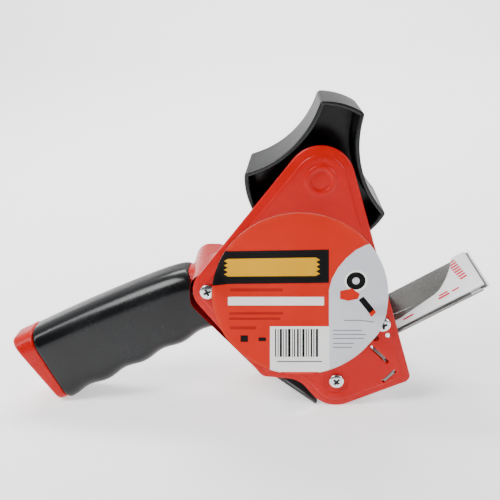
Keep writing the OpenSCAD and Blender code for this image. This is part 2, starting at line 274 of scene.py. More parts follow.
def surface(name, color, rough, metal=0.0, coat=0.0, spec=0.5, var=0.10, rvar=0.06, big=35.0, fine=900.0,
            bump=0.02, stretch=(1, 1, 1), wear=0.25, worn=None, alpha=1.0, trans=0.0, ior=1.5, rot=0.0, dust=0.0,
            subsurface=0.0, painted_glow=0.0):
    m, nt, b = new_mat(name)
    N, L = nt.nodes, nt.links
    tc = N.new("ShaderNodeTexCoord")
    mp = N.new("ShaderNodeMapping")
    mp.inputs["Scale"].default_value = stretch
    mp.inputs["Rotation"].default_value = (0, rot, 0)
    L.new(tc.outputs["Object"], mp.inputs[0])
    n1 = N.new("ShaderNodeTexNoise")
    n1.inputs["Scale"].default_value = big
    n1.inputs["Detail"].default_value = 4
    L.new(tc.outputs["Object"], n1.inputs[0])
    n2 = N.new("ShaderNodeTexNoise")
    n2.inputs["Scale"].default_value = fine
    n2.inputs["Detail"].default_value = 5
    L.new(mp.outputs[0], n2.inputs[0])
    ramp = N.new("ShaderNodeValToRGB")
    dark = [max(0, c * (1 - var)) for c in color]
    lite = [min(1, c * (1 + var) + 0.004) for c in color]
    ramp.color_ramp.elements[0].position = 0.32
    ramp.color_ramp.elements[0].color = (*dark, 1)
    ramp.color_ramp.elements[1].position = 0.68
    ramp.color_ramp.elements[1].color = (*lite, 1)
    L.new(n1.outputs[0], ramp.inputs[0])
    col = ramp.outputs[0]
    grain = N.new("ShaderNodeMix")
    grain.data_type = "RGBA"
    grain.blend_type = "MULTIPLY"
    gr = N.new("ShaderNodeValToRGB")
    gr.color_ramp.elements[0].position = 0.35
    gr.color_ramp.elements[0].color = (1 - var, 1 - var, 1 - var, 1)
    gr.color_ramp.elements[1].position = 0.62
    gr.color_ramp.elements[1].color = (1, 1, 1, 1)
    L.new(n2.outputs[0], gr.inputs[0])
    grain.inputs[0].default_value = 0.8
    L.new(col, grain.inputs[6])
    L.new(gr.outputs[0], grain.inputs[7])
    col = grain.outputs[2]
    if wear > 0:
        geo = N.new("ShaderNodeNewGeometry")
        wr = N.new("ShaderNodeMapRange")
        wr.inputs[1].default_value = 0.52
        wr.inputs[2].default_value = 0.62
        wr.inputs[3].default_value = 0.0
        wr.inputs[4].default_value = wear
        L.new(geo.outputs["Pointiness"], wr.inputs[0])
        mul = N.new("ShaderNodeMath")
        mul.operation = "MULTIPLY"
        L.new(wr.outputs[0], mul.inputs[0])
        L.new(n1.outputs[0], mul.inputs[1])
        mx = N.new("ShaderNodeMix")
        mx.data_type = "RGBA"
        w = worn or [min(1, c * 1.35 + 0.05) for c in color]
        mx.inputs[7].default_value = (*w, 1)
        L.new(mul.outputs[0], mx.inputs[0])
        L.new(col, mx.inputs[6])
        col = mx.outputs[2]
    if dust > 0:
        sp = N.new("ShaderNodeTexNoise")
        sp.inputs["Scale"].default_value = 420
        sp.inputs["Detail"].default_value = 2
        L.new(tc.outputs["Object"], sp.inputs[0])
        sr = N.new("ShaderNodeMapRange")
        sr.inputs[1].default_value = 0.70
        sr.inputs[2].default_value = 0.80
        sr.inputs[3].default_value = 0.0
        sr.inputs[4].default_value = dust
        L.new(sp.outputs[0], sr.inputs[0])
        dx = N.new("ShaderNodeMix")
        dx.data_type = "RGBA"
        dx.inputs[7].default_value = (0.75, 0.74, 0.72, 1)
        L.new(sr.outputs[0], dx.inputs[0])
        L.new(col, dx.inputs[6])
        col = dx.outputs[2]
    L.new(col, b.inputs["Base Color"])
    rr = N.new("ShaderNodeMapRange")
    rr.inputs[1].default_value = 0.3
    rr.inputs[2].default_value = 0.7
    rr.inputs[3].default_value = max(0.02, rough - rvar)
    rr.inputs[4].default_value = min(1, rough + rvar)
    mixn = N.new("ShaderNodeMath")
    mixn.operation = "MULTIPLY_ADD"
    mixn.inputs[1].default_value = 0.5
    half = N.new("ShaderNodeMath")
    half.operation = "MULTIPLY"
    half.inputs[1].default_value = 0.5
    L.new(n2.outputs[0], half.inputs[0])
    L.new(n1.outputs[0], mixn.inputs[0])
    L.new(half.outputs[0], mixn.inputs[2])
    L.new(mixn.outputs[0], rr.inputs[0])
    L.new(rr.outputs[0], b.inputs["Roughness"])
    bp = N.new("ShaderNodeBump")
    bp.inputs["Strength"].default_value = 0.6
    bp.inputs["Distance"].default_value = bump / 1000.0
    L.new(n2.outputs[0], bp.inputs["Height"])
    L.new(bp.outputs[0], b.inputs["Normal"])
    b.inputs["Metallic"].default_value = metal
    b.inputs["Specular IOR Level"].default_value = spec
    b.inputs["Coat Weight"].default_value = coat
    b.inputs["Coat Roughness"].default_value = 0.06
    b.inputs["IOR"].default_value = ior
    b.inputs["Alpha"].default_value = alpha
    b.inputs["Transmission Weight"].default_value = trans
    if subsurface:
        b.inputs["Subsurface Weight"].default_value = subsurface
        b.inputs["Subsurface Radius"].default_value = (0.004, 0.001, 0.0005)
    # emission: painted light, the surface glows though it is no lamp
    if painted_glow:
        b.inputs["Emission Color"].default_value = (*color, 1)
        b.inputs["Emission Strength"].default_value = painted_glow
    m.diffuse_color = (*color, 1)
    return m


RED = surface("red_plastic_gloss", (0.50, 0.004, 0.003), 0.24, coat=0.0, spec=0.18, var=0.07, rvar=0.05, bump=0.010, fine=1500, wear=0.35,
              worn=(0.70, 0.03, 0.02))
RED2 = surface("red_plastic_moulded", (0.47, 0.004, 0.003), 0.30, coat=0.0, spec=0.18, var=0.08, rvar=0.06, bump=0.018, fine=1100, wear=0.3,
               worn=(0.65, 0.03, 0.02))
BLACK = surface("black_plastic_gloss", (0.006, 0.0064, 0.0072), 0.22, coat=0.0, spec=0.4, var=0.25, rvar=0.05, bump=0.012, fine=1300,
                wear=0.6, worn=(0.10, 0.105, 0.11), dust=0.03)
BLACK_OUT = surface("black_plastic_outer_face", (0.010, 0.0105, 0.0112), 0.40, coat=0.0, spec=0.08, var=0.25, rvar=0.05, bump=0.012,
                    fine=1300, wear=0.4, worn=(0.08, 0.082, 0.085), dust=0.02)
GRIP = surface("grip_rubber_satin", (0.0045, 0.0052, 0.0063), 0.22, coat=0.0, spec=0.30, var=0.22, rvar=0.06, bump=0.02, fine=1700,
               wear=0.3, worn=(0.06, 0.062, 0.066), dust=0.03)
ZINC = surface("zinc_plated_steel", (0.70, 0.72, 0.74), 0.20, metal=1.0, var=0.10, rvar=0.08, bump=0.012, fine=2200, wear=0.4,
               worn=(0.92, 0.93, 0.94), big=120)
SPRING = surface("spring_steel_wire", (0.50, 0.51, 0.53), 0.26, metal=1.0, var=0.12, rvar=0.08, bump=0.01, fine=3000, wear=0.2, big=150)
BRUSH = surface("brushed_steel_sheet", (0.115, 0.109, 0.100), 0.28, metal=1.0, var=0.12, rvar=0.07, bump=0.012, fine=260,
                stretch=(1.0, 14.0, 14.0), wear=0.3, worn=(0.85, 0.86, 0.86), rot=math.radians(-27.3))
BLADE = surface("ground_blade_steel", (0.46, 0.47, 0.48), 0.20, metal=1.0, var=0.10, rvar=0.07, bump=0.010, fine=300,
                stretch=(14.0, 1.0, 14.0), wear=0.4, worn=(0.95, 0.95, 0.96), rot=math.radians(-27.3))
# near-black colour for the ground tooth facets: painted shade on the facets, darker than the BLADE steel of the strip
TEETH_PAINTED_SHADE = surface("ground_tooth_steel_painted_shade", (0.020, 0.020, 0.022), 0.36, metal=1.0, var=0.2, rvar=0.08, bump=0.010, fine=500, wear=0.3, worn=(0.7, 0.7, 0.7))
# near-black colour for the faces inside the screws' cross recesses: painted shade in the recess
RECESS_PAINTED_SHADE = surface("driver_recess_painted_shade", (0.05, 0.05, 0.055), 0.45, metal=0.8, var=0.25, rvar=0.1, bump=0.02, fine=2200, wear=0.0)
NYLON = surface("natural_nylon", (0.74, 0.71, 0.62), 0.45, var=0.06, rvar=0.08, bump=0.02, wear=0.2, subsurface=0.1)
FIBRE = surface("pressed_brake_fibre", (0.17, 0.11, 0.065), 0.75, var=0.25, rvar=0.12, bump=0.08, fine=1200, wear=0.3)
BRASS = surface("turned_brass", (0.70, 0.47, 0.16), 0.25, metal=1.0, var=0.12, rvar=0.08, bump=0.012, fine=2000, wear=0.3)
RUBBER = surface("roller_rubber", (0.022, 0.022, 0.024), 0.62, var=0.25, rvar=0.10, bump=0.05, fine=1300, wear=0.3,
                 worn=(0.09, 0.09, 0.095), dust=0.05)
CARD = surface("card_orange_ink", (0.58, 0.012, 0.0006), 0.42, coat=0.0, spec=0.12, var=0.05, rvar=0.05, bump=0.012, fine=1900, wear=0.2,
               worn=(0.9, 0.35, 0.2))
CARD_BACK = surface("card_board_edge", (0.78, 0.74, 0.66), 0.7, var=0.08, bump=0.03, fine=2500, wear=0.0)
INK_BLACK = surface("card_black_ink", (0.0025, 0.0025, 0.003), 0.40, coat=0.0, spec=0.08, var=0.3, bump=0.010, fine=1900, wear=0.2,
                    worn=(0.1, 0.1, 0.1))
INK_AMBER = surface("card_amber_ink", (0.74, 0.37, 0.0005), 0.40, coat=0.0, spec=0.1, var=0.05, bump=0.010, fine=1900, wear=0.0)
INK_WHITE = surface("card_white_ink", (0.88, 0.88, 0.87), 0.40, coat=0.25, var=0.03, bump=0.010, fine=1900, wear=0.0)
INK_GREY = surface("card_silver_ink", (0.58, 0.60, 0.65), 0.34, metal=0.15, coat=0.25, var=0.05, bump=0.010, fine=1900, wear=0.0)
INK_DARKRED = surface("card_dark_red_ink", (0.36, 0.006, 0.002), 0.40, coat=0.0, spec=0.1, var=0.08, bump=0.010, fine=1900, wear=0.0)
INK_DIM = surface("card_grey_ink", (0.10, 0.10, 0.11), 0.4, coat=0.25, var=0.15, bump=0.010, fine=1900, wear=0.0)
INKS = [CARD, INK_BLACK, INK_AMBER, INK_WHITE, INK_GREY, INK_DARKRED, INK_DIM, CARD_BACK]
# the guard's emission (glow 0.30) is painted light that brightens it
CLEAR = surface("clear_plastic_guard", (0.93, 0.94, 0.955), 0.12, var=0.03, rvar=0.05, bump=0.012, fine=1100, wear=0.3,
                worn=(1, 1, 1), alpha=0.62, coat=0.2, painted_glow=0.30)
CLEAR_EDGE = surface("clear_plastic_cut_edge", (0.80, 0.82, 0.84), 0.25, var=0.1, rvar=0.08, bump=0.02, wear=0.0, alpha=0.85)
INK_RED = surface("guard_red_ink", (0.62, 0.002, 0.035), 0.6, spec=0.05, var=0.12, bump=0.012, fine=1900, wear=0.0)

# ---------------------------------------------------------------- CAD nodes that stay
keep = {
    "handle_core": RED2, "hub_axle": ZINC, "hub_bushing": NYLON, "axle_washer": NYLON, "brake_disc": FIBRE,
    "pressure_plate": ZINC, "brake_spring": SPRING, "thrust_washer": ZINC, "knob_insert_nut": BRASS,
    "roller_axle": ZINC, "roller_core": NYLON, "blade_rivets": ZINC,
    "tape_guide_bar": BRUSH, "guard_pin": ZINC, "guard_spring": SPRING,
}
for node, mat in keep.items():
    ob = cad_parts[node]
    for s in ob.material_slots:
        s.material = mat
    if not ob.material_slots:
        ob.data.materials.append(mat)


def soften(node, width, seg=3, angle=35):
    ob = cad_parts[node]
    w = ob.modifiers.new("weld", "WELD")
    w.merge_threshold = 1e-6
    b = ob.modifiers.new("edge", "BEVEL")
    b.width = width
    b.segments = seg
    b.limit_method = "ANGLE"
    b.angle_limit = math.radians(angle)
    b.harden_normals = False


for node, w in (("handle_core", 0.0004), ("roller_core", 0.0003), ("tape_guide_bar", 0.0002), ("blade_rivets", 0.00012),
                ("thrust_washer", 0.0001), ("knob_insert_nut", 0.0002)):
    soften(node, w)

# ---------------------------------------------------------------- side plates
NEAR = [[-68.4, -60.9, 13], [-28, -110.6, 5], [-8.5, -111.8, 14], [7.54, -130.94, 16], [52.2, -110.4, 4], [6.3, 36.3, 17]]
FAR = [[-69, -68.5, 9], [-28, -110.6, 5], [-8.5, -111.8, 14], [7.54, -130.94, 16], [52.2, -110.4, 4], [36.2, -59.2, 6],
       [-46, -57.5, 30], [-54.5, -53.4, 8], [-68.6, -53.4, 8.5]]
NEAR_WALL = [[-66.8, -69.2, 9], [-28, -110.6, 5], [-8.5, -111.8, 14], [7.54, -130.94, 16], [52.2, -110.4, 4],
             [36.2, -59.2, 6], [-46, -57.5, 30], [-54.5, -51.4, 8], [-66.6, -51.4, 9]]
S1, S2, S3, PIN = (-56.9, -60.2), (12, -111.3), (34.8, -76.8), (37.8, -83.4)


def slot_poly(a, b, w, r=None):
    a, b = np.array(a, float), np.array(b, float)
    v = b - a
    l, h = np.linalg.norm(v) + w / 2, w / 2
    t = math.atan2(v[1], v[0])
    q = rounded([[-h, -h, 0.8 * h], [l, -h, 0.8 * h], [l, h, 0.8 * h], [-h, h, 0.8 * h]], 5)
    c, s = math.cos(t), math.sin(t)
    return np.stack([a[0] + q[:, 0] * c - q[:, 1] * s, a[1] + q[:, 0] * s + q[:, 1] * c], -1)


SLOTS = [((28.2, -89.2), (38.3, -99.1)), ((37.4, -110.6), (42.4, -105))]


def lift(poly, y):
    return np.stack([poly[:, 0], np.full(len(poly), y) if np.ndim(y) == 0 else y, poly[:, 1]], -1)


def side_plate(name, q, outer_y, inner_y, width, boss, n=14):
    """A moulded plate: rounded edge, sloped rim, a small step, and a flat panel. outer_y is the panel's face."""
    s = 1 if inner_y > outer_y else -1
    t = abs(inner_y - outer_y)
    B = Builder()
    W = width
    prof = [(0.0, t), (0.0, 1.9), (0.12, 1.62), (0.38, 1.42), (0.75, 1.28), (1.6, 1.04), (2.6, 0.80), (W - 0.9, 0.60),
            (W - 0.55, 0.52), (W - 0.30, 0.34), (W - 0.10, 0.10), (W + 0.15, 0.0)]
    rings = [lift(dense_like(q, d, n), outer_y + s * y) for d, y in prof]
    B.rings(rings)
    panel = rounded(inset(q, W + 0.15), n)
    holes, marks = [], []
    feats = []
    if boss:
        feats.append((0, 0, [(9.4, 0.0), (8.3, -0.04), (7.85, -0.20), (7.60, -0.50), (7.25, -0.68), (6.3, -0.70), (5.6, -0.62),
                             (5.3, -0.40), (5.15, -0.05), (4.9, 0.12), (4.2, 0.16), (3.2, 0.05), (1.6, -0.02), (0.0, -0.03)]))
    feats.append((*S2, [(8.0, 0.0), (7.45, 0.05), (7.2, 0.22), (7.05, 0.42), (6.8, 0.5), (3.0, 0.5), (0.0, 0.5)]))
    for x, z, prof2 in feats:
        h = circle((x, z), prof2[0][0], 64)
        holes.append(h)
        B.lathe((x, z), [(r, outer_y + s * y) for r, y in prof2])
    for c, r in ((PIN, 1.42), ((31.7, -85.3), 1.5)):
        holes.append(circle(c, r + 0.25, 28))
        B.lathe(c, [(r + 0.25, outer_y), (r + 0.07, outer_y + s * 0.07), (r, outer_y + s * 0.25), (r, inner_y)], 28)
    for a, b in SLOTS:
        wide, thin = slot_poly(a, b, 2.5), slot_poly(a, b, 2.0)
        holes.append(wide)
        mid = (wide + thin * 2) / 3
        B.rings([lift(wide, outer_y), lift(mid, outer_y + s * 0.10), lift(thin, outer_y + s * 0.28), lift(thin, inner_y)])
    V, F, _ = fill(panel, holes, step=3.0)
    B.add(lift(V, outer_y), F)
    back_holes = [circle(PIN, 1.42, 28), circle((31.7, -85.3), 1.5, 28)] + [slot_poly(a, b, 2.0) for a, b in SLOTS]
    V, F, _ = fill(rounded(q, n), back_holes, step=4.0)
    B.add(lift(V, inner_y), F)
    return B


def dense_like(q, d, n):
    return rounded(inset(q, d), n) if d > 0 else rounded(q, n)


near = side_plate("near", NEAR, 0.0, 3.0, 4.6, True)
near.lathe((0, 0), [(9.2, 3.0), (8.4, 3.12), (8.05, 3.5), (8.0, 4.5), (7.7, 4.8), (4.3, 4.8), (4.05, 4.6), (4.05, 3.0)])
piece(near.make("near_side_plate_moulding", [RED]), "frame", "red_plastic", "near_side_plate")

far = side_plate("far", FAR, 57.0, 54.0, 4.1, False)
# the rear wall, flared from the near plate out to the far plate


def wall_curve(q, d):
    pts = [rounded(inset(q, d) if d else q, 12)[i] for i in range(len(q) * 13)]
    k = lambda c: pts[c * 13:(c + 1) * 13]
    return np.array(k(6)[9:] + k(7) + k(8) + k(0) + k(1)[:11])


ys = [3.0, 3.4, 5, 8, 11, 14, 17, 20, 24, 29, 34, 39, 44, 49, 53, 54.0]
for d, flip in ((0.0, False), (2.6, True)):
    A, Bc = wall_curve(NEAR_WALL, d), wall_curve(FAR, d)
    rr_ = []
    for y in ys:
        t = min(1, max(0, (y - 3) / 46))
        t = t * t * (3 - 2 * t)
        t = 0.25 * (y - 3) / 51 + 0.75 * t
        rr_.append(lift(A * (1 - t) + Bc * t, y))
    far.rings(rr_, close=False, flip=flip)
    if d == 0:
        outer_w = rr_
    else:
        for e in (0, -1):
            far.rings([np.array([r[e] for r in outer_w]), np.array([r[e] for r in rr_])], close=False)
for c in (S1, S3):
    far.lathe(c, [(1.5, 22), (1.5, 3.0), (1.9, 3.0), (4.2, 3.0), (4.5, 3.3), (4.5, 53.2), (5.2, 54.0)], 48)
piece(far.make("far_side_plate_and_wall", [RED2]), "frame", "red_plastic", "far_side_plate")

# ---------------------------------------------------------------- printed card (plain shapes only)
CC, CR = (-9, -62.1), 45.6


def rect(x0, z0, x1, z1, tilt=0.0):
    c, s = math.cos(tilt), math.sin(tilt)
    cx, cz = (x0 + x1) / 2, (z0 + z1) / 2
    return np.array([[cx + (a - cx) * c - (b - cz) * s, cz + (a - cx) * s + (b - cz) * c]
                     for a, b in ((x0, z0), (x1, z0), (x1, z1), (x0, z1))])


# camera, needed once here to place the card's printed areas as they are framed
F_PX = 756.578
TH, PS = math.radians(20.198), math.radians(2.756)
C_HUB = np.array([-17.407, -360.835, 96.109])
FWD = np.array([-math.sin(PS) * math.cos(TH), math.cos(PS) * math.cos(TH), -math.sin(TH)])
RGT = np.array([math.cos(PS), math.sin(PS), 0.0])
UPV = np.cross(RGT, FWD)


def on_plate(p, y=-0.4):
    """Where the line of sight through an image point meets the card."""
    d = FWD + (p[0] - 250) / F_PX * RGT - (p[1] - 250) / F_PX * UPV
    t = (y - C_HUB[1]) / d[1]
    q = C_HUB + d * t
    return np.array([q[0], q[2]])


def shape(pts, step=2.0):
    q = np.array([on_plate(p) for p in pts])
    area = 0.5 * np.sum(q[:, 0] * np.roll(q[:, 1], -1) - np.roll(q[:, 0], -1) * q[:, 1])
    if area < 0:
        q = q[::-1]
    return dense(q, step)


def bar(x0, y0, x1, y1):
    return shape([(x0, y0), (x1, y0), (x1, y1), (x0, y1)])


zones = []  # (ink, polygon): later ones lie over earlier ones
zones.append((1, shape([(190, 252), (329, 249.5), (329, 283), (190, 284.5)])))
# a plain strip with zigzag ends in the band
zig = [(228, 259)] + [(316 + (4 if k % 2 else 0), 257.6 + k * 2.3) for k in range(9)][::1] + \
      [(228 - (4 if k % 2 else 0), 276.6 - k * 2.2) for k in range(8)]
zones.append((2, shape(zig, 3.0)))
zones.append((5, bar(230, 288.5, 283, 291.5)))
zones.append((3, bar(228, 297, 324, 305.5)))
for y, w in ((312.3, 283), (317.6, 280)):
    zones.append((5, bar(229, y, w, y + 2.4)))
zones.append((5, bar(230, 326.5, 256, 329.5)))
zones.append((1, bar(240.5, 335.5, 248, 342)))
zones.append((1, bar(258.5, 337.5, 266, 341.2)))
# silver panel at the right, with a curved edge
arc = [(329, 290), (332, 279), (338, 268), (346, 258.5), (356, 250), (366, 245), (372, 243.5)]
panel_img = arc + [(400, 243), (400, 400), (329, 400)]
zones.append((4, shape(panel_img, 3.0)))
# plain pictogram: a ring and a slanted bar
ring_c = on_plate((356, 281))
zones.append((3, circle(ring_c, 5.9, 40)))
zones.append((1, circle(ring_c, 4.9, 40)))
zones.append((4, circle(ring_c, 1.9, 28)))
zones.append((0, shape([(340, 291), (352, 288.5), (360, 294), (358, 299), (348, 301), (340, 299)], 2)))
zones.append((1, shape([(358.5, 300), (363.5, 296.5), (374, 309), (369, 313)], 2)))
zones.append((0, shape([(369, 313), (374, 309), (376, 311.5), (371, 316)], 2)))
for y, x1 in ((320, 374), (330, 362), (334, 366), (338, 364), (343, 354), (347, 352)):
    zones.append((6, bar(344 if y == 320 else 333, y, x1, y + 0.9)))
# white box with plain bars
zones.append((3, bar(270, 326.5, 329.5, 372)))
x = 275.0
k = 0
widths = [1.2, 0.8, 2.2, 0.8, 1.4, 2.6, 0.8, 1.2, 1.8, 0.8, 2.4, 1.0, 0.8, 1.6, 1.0, 2.2]
gaps = [1.5, 1.3, 1.0, 1.6, 1.2, 1.4, 1.2, 1.8, 1.1, 1.5, 1.2, 1.4, 1.6, 1.2, 1.5, 1.2]
while x < 323 and k < len(widths):
    zones.append((1, bar(x, 329, x + widths[k], 357)))
    x += widths[k] + gaps[k]
    k += 1
zones.append((6, bar(277, 361, 322, 362.2)))

card_outer = circle(CC, CR, 200)
clipped = []
for ink, z in zones:
    inside_all = inside(z, card_outer * 0.9995 + np.array(CC) * 0.0005)
    if not inside_all.all():
        d = z - np.array(CC)
        r = np.linalg.norm(d, axis=1)
        far_out = r > CR - 0.01
        z = z.copy()
        z[far_out] = np.array(CC) + d[far_out] / r[far_out][:, None] * (CR + 2.0)
    clipped.append((ink, z))


def card_height(P):
    """The card lies on the panel and is pushed up over two screw heads."""
    h = np.full(len(P), -0.30)
    for c in (S1, S3):
        r = np.linalg.norm(P - np.array(c), axis=1)
        t = np.clip((r - 4.1) / 9.0, 0, 1)
        h = np.minimum(h, -0.30 - 2.08 * (1 - t) ** 2 * (1 + 2 * t))
    return h


B = Builder()
V, F, cen = fill(card_outer, (), [z for _, z in clipped], step=1.7)
ink_of = np.zeros(len(F), int)
for ink, z in clipped:
    ink_of[inside(cen, z)] = ink
H = card_height(V)
B.add(lift(V, H), F, ink_of)
B.add(lift(V, H + 0.22), F[:, ::-1], 7)
edge = dense(card_outer, 99)
he = card_height(edge)
B.rings([lift(edge, he), lift(edge, he + 0.22)], mat=7)
card = B.make("round_printed_card", INKS, angle=40)
piece(card, "frame", "printed_card", "label_card")

# ---------------------------------------------------------------- screws


def screw_head(B, c, y0, s, turn, hgt=2.2):
    """Pan head with a cross recess. s is -1 toward the near side."""
    n, R = 96, 4.0
    rs = np.concatenate([[0.02], np.linspace(0.25, 3.2, 19), [3.5, 3.72, 3.88, 3.97, 4.0, 4.0]])
    rings, cuts = [], []
    for i, r in enumerate(rs):
        t = np.arange(n) * 2 * math.pi / n
        dome = hgt * (1 - 0.34 * (min(r, 3.9) / 3.9) ** 2.2)
        if r > 3.4:
            u = (r - 3.4) / 0.6
            dome = hgt * 0.70 - (0.75 * (1 - math.sqrt(max(0, 1 - u * u))))
        if i == len(rs) - 1:
            dome = 0.0
        x, z = r * np.cos(t - turn), r * np.sin(t - turn)
        arm = np.minimum(np.maximum(np.abs(x) - 0.1, np.abs(z) * 3.4), np.maximum(np.abs(z) - 0.1, np.abs(x) * 3.4))
        cut = np.clip((2.15 - arm) / 0.35, 0, 1) * np.clip((2.2 - r) / 0.25, 0, 1)
        depth = 0.45 + 1.0 * (1 - min(r, 2.2) / 2.2)
        y = np.full(n, dome) - cut * depth
        q = circle(c, r, n)
        rings.append(np.stack([q[:, 0], y0 + s * y, q[:, 1]], -1))
        cuts.append(cut)
    # faces cut into the cross recess take slot 1, the near-black painted shade
    mi = []
    for k in range(len(rings) - 1):
        mi += [1 if (cuts[k][i] + cuts[k + 1][(i + 1) % n]) > 0.9 else 0 for i in range(n)]
    B.rings(rings, mat=mi)


B = Builder()
screw_head(B, S1, 0.0, -1, math.radians(24))
screw_head(B, S2, 0.5, -1, math.radians(50))
screw_head(B, S3, 0.0, -1, math.radians(12))
for c, y0 in ((S1, 0), (S2, 0.5), (S3, 0)):
    B.lathe(c, [(1.4, y0), (1.4, y0 + 15), (0.5, y0 + 16.5)], 24)
piece(B.make("cross_recess_pan_screws", [ZINC, RECESS_PAINTED_SHADE], angle=28), "frame", "zinc_steel", "frame_screws")
B = Builder()
screw_head(B, S2, 57.0, 1, math.radians(15))
B.lathe(S2, [(1.4, 57), (1.4, 44), (0.5, 42.5)], 24)
piece(B.make("roller_axle_pan_screw", [ZINC, RECESS_PAINTED_SHADE], angle=28), "frame", "zinc_steel", "roller_axle_screw")

# ---------------------------------------------------------------- handle


def top_t(s):
    return 22.5 - 0.0005 * (s - 80) ** 2 - 2.4 * math.exp(-s / 5)


def low_t(s):
    return -(18.4 + 0.047 * s) - 0.9 * math.cos(math.radians(360 * (s - 22.5) / 25))


def section(w, t0, t1, rt, rb, n=12):
    return rounded([[-w / 2, t0, rb], [w / 2, t0, rb], [w / 2, t1, rt], [-w / 2, t1, rt]], n)


B = Builder()
ss = [0.7, 0.72, 0.85, 1.15, 1.6, 2.2, 3.0] + list(np.linspace(4.2, 95.5, 74)) + [96.9, 97.8, 98.4, 98.75, 98.95, 99.0]
rings = []
for s in ss:
    e = min(s - 0.7, 99.0 - s)
    R = 1.5
    ins = 0.0 if e >= R else R - math.sqrt(max(0, R * R - (R - e) ** 2))
    if s in (0.7, 99.0):
        ins = R
    swell = 0.35 * math.sin(math.pi * (s - 0.7) / 98.3)
    w = 29.3 + 2 * swell - 2 * ins
    q = section(w, low_t(s) + ins, top_t(s) - ins, 11.4 - ins, 8.4 - ins)
    rings.append(np.stack([np.full(len(q), -s), YM + q[:, 0], q[:, 1]], -1))
a = section(21.9, -13.4, 15.9, 8, 6)
first = np.stack([np.full(len(a), -0.7), YM + a[:, 0], a[:, 1]], -1)
last = np.stack([np.full(len(a), -99.0), YM + a[:, 0], a[:, 1]], -1)
B.rings([first] + rings + [last])
piece(B.make("finger_groove_grip", [GRIP], place=lambda P: row(handle(P)), angle=50), "frame", "grip_rubber", "grip_sleeve")

B = Builder()
rings = []


def cap_end(y, t):
    u = (t + 21.8) / 44.3
    return 106.7 + 6.7 * u - 2.6 * (y / 14.5) ** 2


R = 2.4
for s0 in (99.0, 99.08, 99.3, 99.7):
    ins = 0.55 * (1 - (s0 - 99.0) / 0.7) ** 2
    q = section(29 - 2 * ins, -21.8 + ins, 22.5 - ins, 10.2, 6.5)
    rings.append(np.stack([np.full(len(q), -s0), YM + q[:, 0], q[:, 1]], -1))
for k in range(1, 9):
    u = k / 9
    q = section(29, -21.8, 22.5, 10.2, 6.5)
    se = np.array([cap_end(a, b) for a, b in q]) - R
    rings.append(np.stack([-(99.7 + (se - 99.7) * u), YM + q[:, 0], q[:, 1]], -1))
for k in range(0, 10):
    ph = k / 9 * math.pi / 2
    ins = R * (1 - math.cos(ph))
    q = section(29 - 2 * ins, -21.8 + ins, 22.5 - ins, 10.2 - ins, 6.5 - ins)
    q0 = section(29, -21.8, 22.5, 10.2, 6.5)
    se = np.array([cap_end(a, b) for a, b in q0]) - R + R * math.sin(ph)
    rings.append(np.stack([-se, YM + q[:, 0], q[:, 1]], -1))
for g in (0.85, 0.68, 0.5, 0.32, 0.15, 0.01):
    q0 = section(29 - 2 * R, -21.8 + R, 22.5 - R, 10.2 - R, 6.5 - R)
    c = q0.mean(0)
    q = c + (q0 - c) * g
    se = np.array([cap_end(a, b) for a, b in q])
    rings.append(np.stack([-se, YM + q[:, 0], q[:, 1]], -1))
B.rings([last] + rings)
plug = section(15.6, -10.3, 12.8, 5, 3)
mk = lambda s_, k_=1.0: np.stack([np.full(len(plug), -s_), YM + plug[:, 0] * k_, plug[:, 1] * k_], -1)
B.rings([mk(88, 0.7), mk(88, 0.96), mk(88.6), mk(99.5)])
piece(B.make("domed_end_cap", [RED2], place=lambda P: row(handle(P)), angle=50), "frame", "red_plastic", "grip_end_cap")

# ---------------------------------------------------------------- hub
TURN = 74.5


def hub_poly(n=540, soft=7):
    t = np.arange(n) * 2 * math.pi / n
    r = np.full(n, 38.0)
    for k in range(3):
        d = (t - math.radians(TURN + 60 + 120 * k) + math.pi) % (2 * math.pi) - math.pi
        m = np.abs(d) < math.asin(52 / 73)
        rho = np.full(n, 1e3)
        rho[m] = 73 * np.cos(d[m]) - np.sqrt(52 ** 2 - (73 * np.sin(d[m])) ** 2)
        r = np.minimum(r, rho)
    P = np.stack([r * np.cos(t), r * np.sin(t)], -1)
    # even spacing along the outline, then soft corners
    L = np.concatenate([[0], np.cumsum(np.linalg.norm(np.roll(P, -1, 0) - P, axis=1))])
    u = np.linspace(0, L[-1], n, endpoint=False)
    Q = np.concatenate([P, P[:1]])
    P = np.stack([np.interp(u, L, Q[:, 0]), np.interp(u, L, Q[:, 1])], -1)
    w = np.exp(-0.5 * (np.arange(-soft, soft + 1) / (soft / 2.2)) ** 2)
    w /= w.sum()
    out = np.zeros_like(P)
    for i, k in zip(range(-soft, soft + 1), w):
        out += k * np.roll(P, i, 0)
    return out


HP = hub_poly(soft=5)


def offset(P, d):
    t = np.roll(P, -1, 0) - np.roll(P, 1, 0)
    t /= np.linalg.norm(t, axis=1)[:, None]
    nrm = np.stack([t[:, 1], -t[:, 0]], -1)
    return P + nrm * d


def hub_ring(y, d):
    k = 1 - 0.034 * max(0, (y - 5.5)) / 45.0
    return lift(offset(HP, d) * k, y)


B = Builder()
prof = [(30.0, -2.5), (8.0, -2.35), (6.2, -2.25), (5.72, -2.1), (5.5, -1.8), (5.5, -0.55), (5.6, -0.25), (5.85, -0.06), (6.3, 0.0),
        (10, 0.0), (18, 0), (28, 0), (38, 0), (46, 0), (49.7, 0.0), (50.15, -0.07), (50.4, -0.28), (50.5, -0.6), (50.5, -1.75),
        (50.3, -2.05), (49.8, -2.25), (46, -2.4), (31.4, -2.5)]
B.rings([hub_ring(y, d) for y, d in prof],
        mat=[1 if 8 <= k <= 13 else 0 for k in range(len(prof) - 1) for _ in range(len(HP))])
